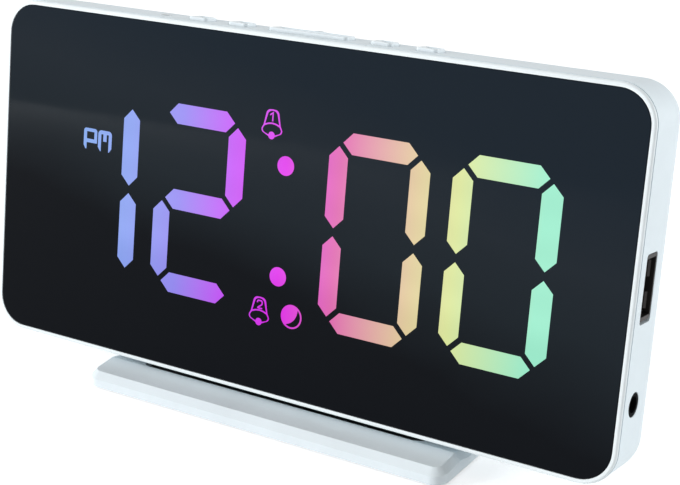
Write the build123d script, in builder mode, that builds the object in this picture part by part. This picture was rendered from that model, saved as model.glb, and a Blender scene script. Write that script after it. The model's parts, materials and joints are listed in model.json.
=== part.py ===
"""Digital desk clock: a mirror-fronted display case that tilts on a low weighted base."""
from build123d import *
from math import cos, degrees, radians, sin, sqrt
import os

os.makedirs("parts", exist_ok=True)

# Row frame: X to the right, the front towards -Y, Z up, origin on the table under the middle of the base

# Fits and cuts
running_gap = 0.05
seat_gap = 0.1
key_gap = 0.3
cut_overrun = 1.0

# Display case: the front panel reaches past its display all round and sits inside a narrow rim
lens_side_margin = 16.975
lens_end_margin = 18.505
lens_thickness = 2.0
lens_corner = 7.5
lens_bevel = 0.25
rim_width = 1.2
case_depth = 20.7
back_radius = 8.5
housing_wall = 1.3
rear_wall = 1.3

# Front frame: lip in front, thin rebate inside the housing's edge, ledge and skirt behind the panel
lip_inset = 0.1
lip_thickness = 0.7
lip_edge = 0.6
seam_width = 0.25
rebate_wall = 0.5
rebate_depth = 2.4
tape_thickness = 0.2
ledge_width = 1.5
frame_depth = 3.4
post_radius = 2.6
post_length = 4.7
web_width = 3.0

# Display: four digits of seven segments, a colon and four signs
segment_width = 4.99
segment_pitch = 20.85
digit_half_width = 10.53
tip_gap = 0.95
digit_spacing = 31.5
digit_middle = 40.25
dot_radius = 2.25
dot_offset = 13.03
sign_column = 4.55
sign_row = 22.0
bell_height = 7.0
bell_width = 5.8
moon_radius = 2.95
meridiem_width = 9.0
meridiem_height = 5.6
meridiem_row = 10.7
bell_slope = 75.0
mask_side_margin = 2.975
mask_end_margin = 5.155
cap_thickness = 1.0
led_width = 2.8
led_height = 1.6
led_thickness = 0.8

# Circuit board behind the display
board_depth = 9.6
board_thickness = 1.6
board_side_gap = 1.4
board_top_gap = 4.55
board_hinge_gap = 0.35
board_corner = 2.0

# Case screws and board screws
upper_screw_inset = 9.0
upper_screw_drop = 5.7
lower_screw_inset = 17.2
lower_screw_rise = 9.05
case_screw_radius = 1.25
case_screw_head = 2.2
case_screw_head_height = 1.6
case_screw_seat = 12.0
boss_radius = 3.3
board_screw_radius = 0.9
board_screw_head = 1.8
board_screw_head_height = 0.9
board_screw_length = 5.0
board_post_radius = 2.4
board_post_left_inset = 4.5
board_post_right_inset = 6.5
board_post_upper = 20.0
board_post_lower = -12.8

# Crossed recess in a screw's head: its depth, slot width and reach as shares of the head
recess_share = 0.6
recess_slot_share = 0.3
recess_reach_share = 0.65

# Keys on the top face
key_length = 5.4
snooze_length = 21.4
key_depth = 4.6
key_middle = 7.0
key_corner = 1.0
key_height = 0.75
key_travel = 0.5
key_flange = 0.6
key_flange_thickness = 0.7
key_flange_drop = 0.15
key_stem_width = 2.0
key_stem_depth = 1.6
key_edge = 0.2
dish_depth = 0.4
dish_ramp = 2.3
dish_rim = 0.45
dish_ramp_share = 0.9
outer_key = 31.1
inner_key = 19.5
switch_width = 6.0
switch_height = 4.0
switch_thickness = 3.5
plunger_width = 3.0
plunger_height = 0.9
plunger_depth = 1.5

# Light sensor window on the top face
sensor_place = -42.2
sensor_radius = 1.2
sensor_flange = 1.8
sensor_flange_thickness = 0.6
sensor_rise = 0.15

# Brightness thumbwheel, which stands a little out of the top edge behind the keys
wheel_across = -2.9
wheel_radius = 7.0
wheel_thickness = 2.4
wheel_depth = 12.9
wheel_rise = 0.3
wheel_slot_gap = 0.3
wheel_notches = 36
wheel_notch_radius = 0.25
wheel_shaft_radius = 1.5
wheel_recess = 0.6
wheel_recess_radius = 5.0
pot_radius = 4.3
pot_thickness = 1.3

# USB socket on the right side
usb_middle = 0.7
usb_centre_depth = 6.7
usb_hole_middle = 0.43
usb_hole_width = 15.2
usb_hole_height = 6.1
usb_hole_corner = 0.9
usb_width = 13.1
usb_height = 5.7
usb_length = 13.6
usb_recess = 0.1
usb_sheet = 0.3
usb_flange_width = 14.3
usb_flange_height = 6.0
usb_tongue_width = 11.1
usb_tongue_thickness = 1.8
usb_tongue_length = 9.0
usb_tongue_offset = 0.9
usb_contact_width = 1.0
usb_contact_pitch = 2.3
usb_contact_thickness = 0.2
usb_finger_width = 3.6
usb_finger_height = 0.45
usb_finger_start = 0.8
usb_finger_peak = 1.4
usb_finger_end = 4.0
usb_finger_place = 3.45

# Power socket below it
jack_middle = -24.9
jack_centre_depth = 6.2
jack_collar_radius = 2.7
jack_collar_recess = 0.1
jack_bore_radius = 1.9
jack_width = 9.0
jack_height = 6.7
jack_length = 12.0
jack_bore_length = 9.5
jack_pin_radius = 0.65
jack_pin_length = 8.0

# Loudspeaker behind the rear grille
speaker_across = -46.0
speaker_up = 4.0
speaker_radius = 14.0
speaker_frame_depth = 2.2
speaker_floor = 0.6
speaker_rim = 1.3
speaker_magnet_radius = 6.5
speaker_magnet_thickness = 4.0
speaker_cone_thickness = 0.3
speaker_cone_drop = 0.8
speaker_collar = 1.1
speaker_collar_height = 2.8
grille_hole_radius = 0.8
grille_pitch = 2.9
grille_rings = 3

# Backup cell, its well and its door
cell_across = 48.0
cell_up = 4.0
cell_radius = 10.0
cell_thickness = 3.2
cell_gap = 0.4
cell_well_wall = 1.2
cell_floor = 1.0
contact_thickness = 0.3
contact_width = 4.0
contact_length = 9.0
door_width = 27.0
door_height = 33.0
door_drop = 2.5
door_corner = 4.0
door_edge = 0.15
door_thickness = 1.5
door_pad_wall = 1.5
door_pad_thickness = 1.2
door_screw_inset = 2.8
door_screw_radius = 1.0
door_screw_head = 1.9
door_boss_radius = 2.4

# Chips and capacitor on the board's rear face
chip_thickness = 0.9
chip_side = 12.0
# Chips: middle across and up as shares of the board's half width, width and height as shares of the side
chip_shares = (
    (0, 0.06, 1.0, 1.0), (-0.26, -0.17, 0.75, 0.5), (0.24, -0.19, 0.75, 0.5), (0.78, 0.07, 0.5, 0.4)
)
capacitor_across = 22.0
capacitor_up = 16.0
capacitor_radius = 2.5
capacitor_height = 4.6

# Tilt of the case at rest, and how much further it goes each way
tilt = 8.5
tilt_back = 16.5
tilt_forward = 4.5

# Hinge and stand bracket
pin_radius = 1.5
barrel_radius = 3.0
neck_thickness = 1.5
neck_side_gap = 6.7
neck_opening_gap = 0.5
washer_thickness = 0.8
washer_radius = 3.4
washer_cone = 0.4
cheek_thickness = 2.5
cheek_radius = 4.4
clip_thickness = 0.6
clip_radius = 2.6
clip_groove = 0.3
pin_end = 1.2

# Base: a thin plate that rises to a ridge, dips under the case and rises again behind it
base_width = 101.2
base_depth = 56.0
base_corner = 3.5
base_bevel = 1.5
level_share = 0.9
base_wall = 1.6
base_top_wall = 1.2
front_height = 4.1
ridge_height = 4.9
ridge_setback = 8.8
valley_height = 4.0
valley_setback = 13.0
valley_end = 29.5
rear_height = 8.0
slot_inset = 10.2
slot_setback = 9.3
slot_depth = 14.0
slot_corner = 3.0
pad_thickness = 0.5
pad_inset = 0.8
cover_thickness = 0.8
foot_thickness = 1.2
foot_inset = 3.7
foot_setback = 10.6
foot_depth = 16.0
foot_corner = 1.8
weight_setback = 29.0
weight_inset = 4.0
base_screw_radius = 1.2
base_screw_head = 2.1
base_screw_head_height = 0.5
bracket_screw_inset = 6.5
bracket_screw_near = 13.8
bracket_screw_far = 23.4
bracket_boss_radius = 2.8
cover_screw_side_inset = 11.7
cover_screw_rear_inset = 10.0
cover_boss_radius = 3.0

# The case floats a little over the valley of the base
case_gap = 0.5
hinge_setback = 20.7

# Sizes that follow
segment_half_width = segment_width / 2
display_half_width = digit_middle + digit_spacing / 2 + digit_half_width + segment_half_width
display_half_height = segment_pitch + segment_half_width
lens_width = 2 * (display_half_width + lens_side_margin)
lens_height = 2 * (display_half_height + lens_end_margin)
case_width = lens_width + 2 * rim_width
case_height = lens_height + 2 * rim_width
case_corner = lens_corner + rim_width
half_width = case_width / 2
half_height = case_height / 2
inner_half_width = half_width - housing_wall
inner_half_height = half_height - housing_wall
flat_depth = case_depth - back_radius
rear_inner = case_depth - rear_wall
rear_middle = case_depth - rear_wall / 2
housing_front = lip_thickness + seam_width
ledge_depth = lens_thickness + tape_thickness
board_rear = board_depth + board_thickness
hinge_drop = half_height - back_radius
board_half_width = inner_half_width - board_side_gap
board_top = inner_half_height - board_top_gap
board_bottom = hinge_drop - cheek_radius - board_hinge_gap

# Tilted frame of the case: x across, y up the panel, z out of the panel towards the viewer
tilt_angle = radians(tilt)
hinge_y = hinge_setback - base_depth / 2
hinge_z = valley_height + case_gap + back_radius
front = Plane(
    origin=(
        0,
        hinge_y + hinge_drop * sin(tilt_angle) - flat_depth * cos(tilt_angle),
        hinge_z + hinge_drop * cos(tilt_angle) + flat_depth * sin(tilt_angle),
    ),
    x_dir=(1, 0, 0),
    z_dir=(0, -cos(tilt_angle), sin(tilt_angle)),
)
inward = Axis(front.origin, -front.z_dir)
upward = Axis(front.origin, front.y_dir)


def at_depth(depth):
    """The plane this far behind the panel's front face."""
    return front.offset(-depth)


def case_point(across, up, depth):
    """A point of the case: across from its middle, up from its middle, behind the panel's face."""
    return front.from_local_coords(Vector(across, up, -depth))


def plane_up(across, up, depth):
    """A plane facing up the panel, with x across and y into the case."""
    return Plane(origin=case_point(across, up, depth), x_dir=front.x_dir, z_dir=front.y_dir)


def plane_right(across, up, depth):
    """A plane facing right, with x up the panel and y towards the viewer."""
    return Plane(origin=case_point(across, up, depth), x_dir=front.y_dir, z_dir=front.x_dir)


def case_box(across, up, depth, mode=Mode.ADD):
    """A box between two places across, two up and two into the case."""
    middle = case_point(sum(across) / 2, sum(up) / 2, sum(depth) / 2)
    with Locations(Plane(origin=middle, x_dir=front.x_dir, z_dir=front.z_dir)):
        Box(across[1] - across[0], up[1] - up[0], depth[1] - depth[0], mode=mode)


def case_disc(place, radius, near, far, mode=Mode.ADD):
    """A round bar along the depth of the case, at a place (across, up)."""
    middle = case_point(place[0], place[1], (near + far) / 2)
    with Locations(Plane(origin=middle, x_dir=front.x_dir, z_dir=front.z_dir)):
        Cylinder(radius, far - near, mode=mode)


def cut_disc(place, radius, near, far):
    """A round hole along the depth of the case, at a place (across, up)."""
    case_disc(place, radius, near, far, mode=Mode.SUBTRACT)


def hinge_bar(left, right, radius, mode=Mode.ADD):
    """A round bar on the hinge's axis."""
    with Locations(Plane(origin=((left + right) / 2, hinge_y, hinge_z), z_dir=(1, 0, 0))):
        Cylinder(radius, right - left, mode=mode)


def panel_outline(inset, mode=Mode.ADD):
    """The case's rounded outline, drawn in by an inset."""
    RectangleRounded(case_width - 2 * inset, case_height - 2 * inset, case_corner - inset, mode=mode)


def ring(near, far, outer_inset, inner_inset):
    """A closed ring that follows the case's outline."""
    with BuildSketch(at_depth(near)) as outline:
        panel_outline(outer_inset)
        panel_outline(inner_inset, mode=Mode.SUBTRACT)
    extrude(outline.sketch, amount=near - far)


def save(piece, name):
    """Labels a finished piece and writes its file."""
    piece.part.label = name
    export_step(piece.part, "parts/" + name + ".step")


# Front panel
with BuildPart() as front_lens:
    with BuildSketch(at_depth(0)):
        RectangleRounded(lens_width, lens_height, lens_corner)
    extrude(amount=-lens_thickness)
    chamfer(front_lens.faces().sort_by(inward)[0].edges(), lens_bevel)
save(front_lens, "front_lens")

# Adhesive tape between the panel and the ledge
with BuildPart() as lens_tape:
    ring(lens_thickness, ledge_depth, rim_width + seat_gap, rim_width + ledge_width)
save(lens_tape, "lens_tape")

# Front frame with its four screw posts
upper_screw = (board_half_width - upper_screw_inset, board_top - upper_screw_drop)
lower_screw = (half_width - lower_screw_inset, lower_screw_rise - half_height)
case_screw_places = [(side * across, up) for across, up in (upper_screw, lower_screw) for side in (-1, 1)]
post_end = ledge_depth + post_length
with BuildPart() as front_frame:
    ring(0, lip_thickness, lip_inset, rim_width - running_gap)
    ring(lip_thickness, rebate_depth, rim_width - rebate_wall - running_gap, rim_width - running_gap)
    ring(ledge_depth, rebate_depth, rim_width - rebate_wall - running_gap, rim_width + ledge_width)
    ring(rebate_depth, frame_depth, housing_wall + running_gap, rim_width + ledge_width)
    for across, up in case_screw_places:
        side = 1 if across > 0 else -1
        end = 1 if up > 0 else -1
        reach_across = side * (half_width - rim_width - ledge_width / 2)
        reach_up = end * (half_height - rim_width - ledge_width / 2)
        case_disc((across, up), post_radius, ledge_depth, post_end)
        web_across = (across - web_width / 2, across + web_width / 2)
        web_up = (up - web_width / 2, up + web_width / 2)
        case_box(web_across, sorted((up, reach_up)), (ledge_depth, frame_depth))
        if end > 0:
            case_box(sorted((across, reach_across)), web_up, (ledge_depth, frame_depth))
        cut_disc((across, up), case_screw_radius + running_gap, frame_depth, post_end + cut_overrun)
    # Relief behind the ledge for the power socket
    case_box(
        (half_width - rim_width - ledge_width - cut_overrun, half_width),
        (jack_middle - jack_width / 2 - seat_gap, jack_middle + jack_width / 2 + seat_gap),
        (rebate_depth, frame_depth + cut_overrun),
        mode=Mode.SUBTRACT,
    )
    fillet(front_frame.faces().sort_by(inward)[0].outer_wire().edges(), lip_edge)
save(front_frame, "front_frame")

# Keys: (name, middle, length)
keys = (
    ("alarm_button", -outer_key, key_length),
    ("mode_button", -inner_key, key_length),
    ("snooze_bar", 0.0, snooze_length),
    ("down_button", inner_key, key_length),
    ("up_button", outer_key, key_length),
)
key_near = key_middle - key_depth / 2
stem_depth = board_depth - switch_thickness / 2

# Hollow of the rear housing
with BuildPart() as housing_hollow:
    with BuildSketch(at_depth(rebate_depth)):
        panel_outline(housing_wall)
    extrude(amount=rebate_depth - rear_inner)
    fillet(housing_hollow.faces().sort_by(inward)[-1].edges(), back_radius - housing_wall)

# Opening for the neck in the rounded lower edge, as wide as the tilt needs
neck_half_angle = degrees((neck_thickness / 2 + neck_opening_gap) / (back_radius - housing_wall))
opening_low = tilt - tilt_forward - neck_half_angle
opening_high = tilt + tilt_back + neck_half_angle
opening_reach = back_radius + cut_overrun
slot_width = base_width - 2 * slot_inset
neck_half = slot_width / 2 - neck_side_gap
washer_outer = neck_half + running_gap + washer_thickness
cheek_inner = washer_outer + running_gap
cheek_outer = cheek_inner + cheek_thickness
cheek_foot_depth = flat_depth + sqrt((back_radius - rear_wall / 2) ** 2 - cheek_radius ** 2)
with BuildPart() as neck_opening:
    with BuildSketch(Plane(origin=(-cheek_inner, hinge_y, hinge_z), x_dir=-front.y_dir, z_dir=(1, 0, 0))):
        with BuildLine():
            sweep = CenterArc((0, 0), opening_reach, opening_low, opening_high - opening_low)
            Polyline(sweep @ 1, (0, 0), sweep @ 0)
        make_face()
    extrude(amount=2 * cheek_inner)

# Places in the rear wall
speaker_place = (speaker_across, speaker_up)
cell_place = (cell_across, cell_up)
grille_places = [(0, 0)] + [
    (count * grille_pitch * cos(turn), count * grille_pitch * sin(turn))
    for count in range(1, grille_rings + 1)
    for turn in (radians(60.0 * step / count) for step in range(6 * count))
]
well_radius = cell_radius + cell_gap
leg_left = cell_across - contact_width / 2
door_place = (cell_place[0], cell_place[1] - door_drop)
door_screw_place = (door_place[0], door_place[1] - door_height / 2 + door_screw_inset)
door_seat = case_depth - door_thickness - running_gap
well_floor = door_seat - running_gap - cell_thickness - contact_thickness
well_front = well_floor - cell_floor
board_post_left = board_post_left_inset - board_half_width
board_post_right = board_half_width - board_post_right_inset
board_posts = (
    (board_post_left, board_post_upper), (board_post_left, -board_post_upper),
    (board_post_right, board_post_upper), (board_post_right, board_post_lower),
)
board_screw_tip = board_depth + board_screw_length + seat_gap
wheel_up = half_height + wheel_rise - wheel_radius
wheel_middle = (wheel_across, wheel_up)
wheel_far = wheel_depth + wheel_thickness

# Rear housing
with BuildPart() as rear_housing:
    with BuildSketch(at_depth(housing_front)):
        panel_outline(0)
    extrude(amount=housing_front - case_depth)
    fillet(rear_housing.faces().sort_by(inward)[-1].edges(), back_radius)
    add(housing_hollow.part, mode=Mode.SUBTRACT)
    with BuildSketch(at_depth(housing_front)):
        panel_outline(rim_width - rebate_wall - 2 * running_gap)
    extrude(amount=housing_front - rebate_depth - running_gap, mode=Mode.SUBTRACT)
    # Bosses of the case screws and posts of the board
    for place in case_screw_places:
        case_disc(place, boss_radius, post_end + seat_gap, rear_middle)
    for place in board_posts:
        case_disc(place, board_post_radius, board_rear, rear_middle)
    # Hinge cheeks
    for side in (-1, 1):
        ends = sorted((side * cheek_inner, side * cheek_outer))
        hinge_bar(*ends, cheek_radius)
        case_box(ends, (-hinge_drop, -hinge_drop + cheek_radius), (flat_depth, rear_middle))
        case_box(ends, (-hinge_drop - cheek_radius, -hinge_drop), (flat_depth, cheek_foot_depth))
    # Loudspeaker collar and the cell's well
    collar_near = rear_inner - speaker_collar_height
    case_disc(speaker_place, speaker_radius + speaker_collar + seat_gap, collar_near, rear_middle)
    cut_disc(speaker_place, speaker_radius + seat_gap, collar_near - cut_overrun, rear_inner)
    case_disc(cell_place, well_radius + cell_well_wall, well_front, rear_middle)
    case_disc(door_screw_place, door_boss_radius, well_front, rear_middle)
    case_box(
        (door_place[0] - door_width / 2 - door_pad_wall, door_place[0] + door_width / 2 + door_pad_wall),
        (door_place[1] - door_height / 2 - door_pad_wall, door_place[1] + door_height / 2 + door_pad_wall),
        (door_seat - door_pad_thickness, rear_middle),
    )
    # Openings for the keys and the light sensor in the top
    for name, middle, length in keys:
        with BuildSketch(plane_up(middle, half_height + cut_overrun, key_middle)):
            RectangleRounded(length + 2 * key_gap, key_depth + 2 * key_gap, key_corner + key_gap)
        extrude(amount=-housing_wall - 2 * cut_overrun, mode=Mode.SUBTRACT)
    with BuildSketch(plane_up(sensor_place, half_height + cut_overrun, key_middle)):
        Circle(sensor_radius + running_gap)
    extrude(amount=-housing_wall - 2 * cut_overrun, mode=Mode.SUBTRACT)
    # Slot for the thumbwheel
    slot_near = wheel_depth - wheel_slot_gap
    cut_disc(wheel_middle, wheel_radius + wheel_slot_gap, slot_near, wheel_far + wheel_slot_gap)
    # Openings for the sockets in the right side
    with BuildSketch(plane_right(half_width + cut_overrun, usb_hole_middle, usb_centre_depth)):
        RectangleRounded(usb_hole_width, usb_hole_height, usb_hole_corner)
    extrude(amount=-housing_wall - 2 * cut_overrun, mode=Mode.SUBTRACT)
    with BuildSketch(plane_right(half_width + cut_overrun, jack_middle, jack_centre_depth)):
        Circle(jack_collar_radius + seat_gap)
    extrude(amount=-housing_wall - 2 * cut_overrun, mode=Mode.SUBTRACT)
    # Rear grille, door recess, cell well and screw holes
    for across, up in grille_places:
        place = (speaker_across + across, speaker_up + up)
        cut_disc(place, grille_hole_radius, rear_inner - cut_overrun, case_depth + cut_overrun)
    with BuildSketch(at_depth(door_seat)):
        with Locations(door_place):
            RectangleRounded(
                door_width + 2 * seat_gap, door_height + 2 * seat_gap, door_corner + seat_gap
            )
    extrude(amount=door_seat - case_depth - cut_overrun, mode=Mode.SUBTRACT)
    cut_disc(cell_place, well_radius, well_floor, case_depth)
    cut_disc(door_screw_place, door_screw_radius + running_gap, well_floor, case_depth)
    case_box(
        (leg_left - seat_gap, leg_left + contact_thickness + seat_gap),
        (cell_up - contact_width / 2 - seat_gap, cell_up + contact_width / 2 + seat_gap),
        (well_front - cut_overrun, well_floor + cut_overrun),
        mode=Mode.SUBTRACT,
    )
    for place in case_screw_places:
        cut_disc(place, case_screw_head + seat_gap, case_screw_seat, case_depth + cut_overrun)
        cut_disc(place, case_screw_radius + seat_gap, post_end, case_screw_seat)
    for place in board_posts:
        cut_disc(place, board_screw_radius + running_gap, board_rear - cut_overrun, board_screw_tip)
    # Hinge: pin bores and the opening for the neck
    for side in (-1, 1):
        hinge_bar(
            *sorted((side * (cheek_inner - cut_overrun), side * (cheek_outer + cut_overrun))),
            pin_radius + running_gap, mode=Mode.SUBTRACT,
        )
    add(neck_opening.part, mode=Mode.SUBTRACT)
save(rear_housing, "rear_housing")

# Keys: a raised cap with a dished top, a flange that holds it in and a stem over its switch
plunger_top = board_top + plunger_height
stem_bottom = plunger_top + key_travel + seat_gap
flange_top = inner_half_height - key_flange_drop
flange_bottom = flange_top - key_flange_thickness
key_top = half_height + key_height


def make_key(name, middle, length):
    """Builds and writes one key."""
    dish_half = length / 2 - dish_rim
    ramp = min(dish_ramp, dish_ramp_share * dish_half)
    floor = key_top - dish_depth
    over = key_top + cut_overrun
    left = middle - dish_half
    right = middle + dish_half
    with BuildPart() as key:
        with BuildSketch(plane_up(middle, key_top, key_middle)):
            RectangleRounded(length, key_depth, key_corner)
        extrude(amount=flange_bottom - key_top)
        fillet(key.faces().sort_by(upward)[-1].edges(), key_edge)
        with BuildSketch(plane_up(middle, flange_top, key_middle)):
            RectangleRounded(
                length + 2 * (key_gap + key_flange), key_depth + 2 * (key_gap + key_flange), key_corner
            )
        extrude(amount=flange_bottom - flange_top)
        case_box(
            (middle - key_stem_width / 2, middle + key_stem_width / 2),
            (stem_bottom, flange_bottom),
            (stem_depth - key_stem_depth / 2, stem_depth + key_stem_depth / 2),
        )
        with BuildSketch(at_depth(key_near + dish_rim)):
            with BuildLine():
                Line((left + ramp, floor), (right - ramp, floor))
                TangentArc((right - ramp, floor), (right, key_top), tangent=(1, 0))
                Polyline((right, key_top), (right, over), (left, over), (left, key_top))
                TangentArc((left + ramp, floor), (left, key_top), tangent=(-1, 0))
            make_face()
        extrude(amount=2 * dish_rim - key_depth, mode=Mode.SUBTRACT)
    save(key, name)


for name, middle, length in keys:
    make_key(name, middle, length)

# Light sensor window
with BuildPart() as light_sensor:
    with BuildSketch(plane_up(sensor_place, half_height + sensor_rise, key_middle)):
        Circle(sensor_radius)
    extrude(amount=-sensor_rise - housing_wall - sensor_flange_thickness)
    fillet(light_sensor.faces().sort_by(upward)[-1].edges(), sensor_rise)
    with BuildSketch(plane_up(sensor_place, inner_half_height, key_middle)):
        Circle(sensor_flange)
    extrude(amount=-sensor_flange_thickness)
save(light_sensor, "light_sensor")

# Thumbwheel with a notched edge, and the potentiometer that carries it
with BuildPart() as dimmer_wheel:
    case_disc(wheel_middle, wheel_radius, wheel_depth, wheel_far)
    cut_disc(wheel_middle, wheel_recess_radius, wheel_far - wheel_recess, wheel_far + cut_overrun)
    cut_disc(wheel_middle, wheel_shaft_radius + running_gap, wheel_depth - cut_overrun, wheel_far)
    for step in range(wheel_notches):
        turn = radians(360.0 * step / wheel_notches)
        place = (wheel_across + wheel_radius * sin(turn), wheel_up + wheel_radius * cos(turn))
        cut_disc(place, wheel_notch_radius, wheel_depth - cut_overrun, wheel_far + cut_overrun)
save(dimmer_wheel, "dimmer_wheel")
with BuildPart() as dimmer_pot:
    case_disc(wheel_middle, pot_radius, board_rear, board_rear + pot_thickness)
    case_disc(wheel_middle, wheel_shaft_radius, board_rear, wheel_far - wheel_recess)
save(dimmer_pot, "dimmer_pot")

# Places of the display: (across, up, half length, upright) of each segment, by its usual letter
half_pitch = segment_pitch / 2
flat_half = digit_half_width - tip_gap
tall_half = half_pitch - tip_gap
digit_segments = {
    "a": (0, segment_pitch, flat_half, False),
    "b": (digit_half_width, half_pitch, tall_half, True),
    "c": (digit_half_width, -half_pitch, tall_half, True),
    "d": (0, -segment_pitch, flat_half, False),
    "e": (-digit_half_width, -half_pitch, tall_half, True),
    "f": (-digit_half_width, half_pitch, tall_half, True),
    "g": (0, 0, flat_half, False),
}
digit_places = [
    side * digit_middle + step * digit_spacing / 2 for side in (-1, 1) for step in (-1, 1)
]
digits_lit = ("bc", "abdeg", "abcdef", "abcdef")


def draw_segment(across, up, half_length, upright, inset):
    """One pointed bar, drawn in by an inset all round."""
    half = segment_half_width - inset
    tip = half_length - inset * sqrt(2)
    with Locations((across, up)):
        Polygon(
            (-tip, 0), (half - tip, half), (tip - half, half),
            (tip, 0), (tip - half, -half), (half - tip, -half),
            rotation=90 if upright else 0, align=Align.CENTER,
        )


def draw_signs(inset):
    """The two bells, the moon and the afternoon sign, as plain windows."""
    for row in (sign_row, -sign_row):
        with Locations((-sign_column, row)):
            Trapezoid(bell_width - 2 * inset, bell_height - 2 * inset, bell_slope)
    with Locations((sign_column, -sign_row)):
        Circle(moon_radius - inset)
    with Locations((digit_places[0], meridiem_row)):
        Rectangle(meridiem_width - 2 * inset, meridiem_height - 2 * inset)


def draw_display(inset, lit, dark):
    """The windows of the display that are lit, dark or both."""
    for place, letters in zip(digit_places, digits_lit):
        for letter, (across, up, half_length, upright) in digit_segments.items():
            if (lit and letter in letters) or (dark and letter not in letters):
                draw_segment(place + across, up, half_length, upright, inset)
    if lit:
        with Locations((0, dot_offset), (0, -dot_offset)):
            Circle(dot_radius - inset)
        draw_signs(inset)


# Mask with a light well behind every window
with BuildPart() as segment_mask:
    with BuildSketch(at_depth(lens_thickness)):
        Rectangle(
            2 * (display_half_width + mask_side_margin), 2 * (display_half_height + mask_end_margin)
        )
    extrude(amount=lens_thickness - board_depth)
    with BuildSketch(at_depth(lens_thickness)):
        draw_display(0, True, True)
    extrude(amount=lens_thickness - board_depth, mode=Mode.SUBTRACT)
save(segment_mask, "segment_mask")

# Translucent caps in the wells, lit and dark
with BuildPart() as lit_segments:
    with BuildSketch(at_depth(lens_thickness + seat_gap)):
        draw_display(seat_gap, True, False)
    extrude(amount=-cap_thickness)
save(lit_segments, "lit_segments")
with BuildPart() as dark_segments:
    with BuildSketch(at_depth(lens_thickness + seat_gap)):
        draw_display(seat_gap, False, True)
    extrude(amount=-cap_thickness)
save(dark_segments, "dark_segments")

# Light-emitting chips: two in each segment's well, one in each dot's and sign's
with BuildPart() as led_chips:
    for place in digit_places:
        for across, up, half_length, upright in digit_segments.values():
            for side in (-1, 1):
                step = side * half_length / 2
                spot = (place + across, up + step) if upright else (place + across + step, up)
                case_box(
                    (spot[0] - led_width / 2, spot[0] + led_width / 2),
                    (spot[1] - led_height / 2, spot[1] + led_height / 2),
                    (board_depth - led_thickness, board_depth),
                )
    for spot in (
        (0, dot_offset), (0, -dot_offset), (-sign_column, sign_row), (-sign_column, -sign_row),
        (sign_column, -sign_row), (digit_places[0], meridiem_row),
    ):
        case_box(
            (spot[0] - led_width / 2, spot[0] + led_width / 2),
            (spot[1] - led_height / 2, spot[1] + led_height / 2),
            (board_depth - led_thickness, board_depth),
        )
save(led_chips, "led_chips")

# Main board
board_height = board_top + board_bottom
with BuildPart() as main_board:
    with BuildSketch(at_depth(board_depth)):
        with Locations((0, (board_top - board_bottom) / 2)):
            RectangleRounded(2 * board_half_width, board_height, board_corner)
    extrude(amount=-board_thickness)
    for place in case_screw_places:
        if place[1] > 0:
            cut_disc(place, boss_radius + seat_gap, board_depth - cut_overrun, board_rear + cut_overrun)
    for place in board_posts:
        cut_disc(
            place, board_screw_radius + running_gap, board_depth - cut_overrun, board_rear + cut_overrun
        )
save(main_board, "main_board")

# Chips and capacitor on the board's rear
with BuildPart() as board_parts:
    for across_share, up_share, wide_share, high_share in chip_shares:
        across = across_share * board_half_width
        up = up_share * board_half_width
        wide = wide_share * chip_side
        high = high_share * chip_side
        case_box(
            (across - wide / 2, across + wide / 2), (up - high / 2, up + high / 2),
            (board_rear, board_rear + chip_thickness),
        )
    case_disc((capacitor_across, capacitor_up), capacitor_radius, board_rear, board_rear + capacitor_height)
save(board_parts, "board_parts")

# Switches under the keys, each with its plunger
with BuildPart() as tact_switches:
    for name, middle, length in keys:
        case_box(
            (middle - switch_width / 2, middle + switch_width / 2),
            (board_top - switch_height, board_top),
            (board_depth - switch_thickness, board_depth),
        )
        case_box(
            (middle - plunger_width / 2, middle + plunger_width / 2),
            (board_top, plunger_top),
            (stem_depth - plunger_depth / 2, stem_depth + plunger_depth / 2),
        )
save(tact_switches, "tact_switches")


def cross_screw(place, seat, head_radius, head_height, shank_radius, tip, towards_rear):
    """A screw along the case's depth with a crossed recess in its head."""
    head_end = seat + head_height if towards_rear else seat - head_height
    case_disc(place, head_radius, *sorted((seat, head_end)))
    case_disc(place, shank_radius, *sorted((seat, tip)))
    recess = sorted((head_end, head_end + (seat - head_end) * recess_share))
    reach = head_radius * recess_reach_share
    slot = reach * recess_slot_share
    for wide, high in ((reach, slot), (slot, reach)):
        case_box(
            (place[0] - wide, place[0] + wide), (place[1] - high, place[1] + high), recess, mode=Mode.SUBTRACT
        )


# Case screws, from the rear into the front frame's posts
with BuildPart() as case_screws:
    for place in case_screw_places:
        cross_screw(
            place, case_screw_seat, case_screw_head, case_screw_head_height, case_screw_radius,
            frame_depth + seat_gap, True,
        )
save(case_screws, "case_screws")

# Board screws, from the front into the housing's posts
with BuildPart() as board_screws:
    for place in board_posts:
        cross_screw(
            place, board_depth, board_screw_head, board_screw_head_height, board_screw_radius,
            board_depth + board_screw_length, False,
        )
save(board_screws, "board_screws")

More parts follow.
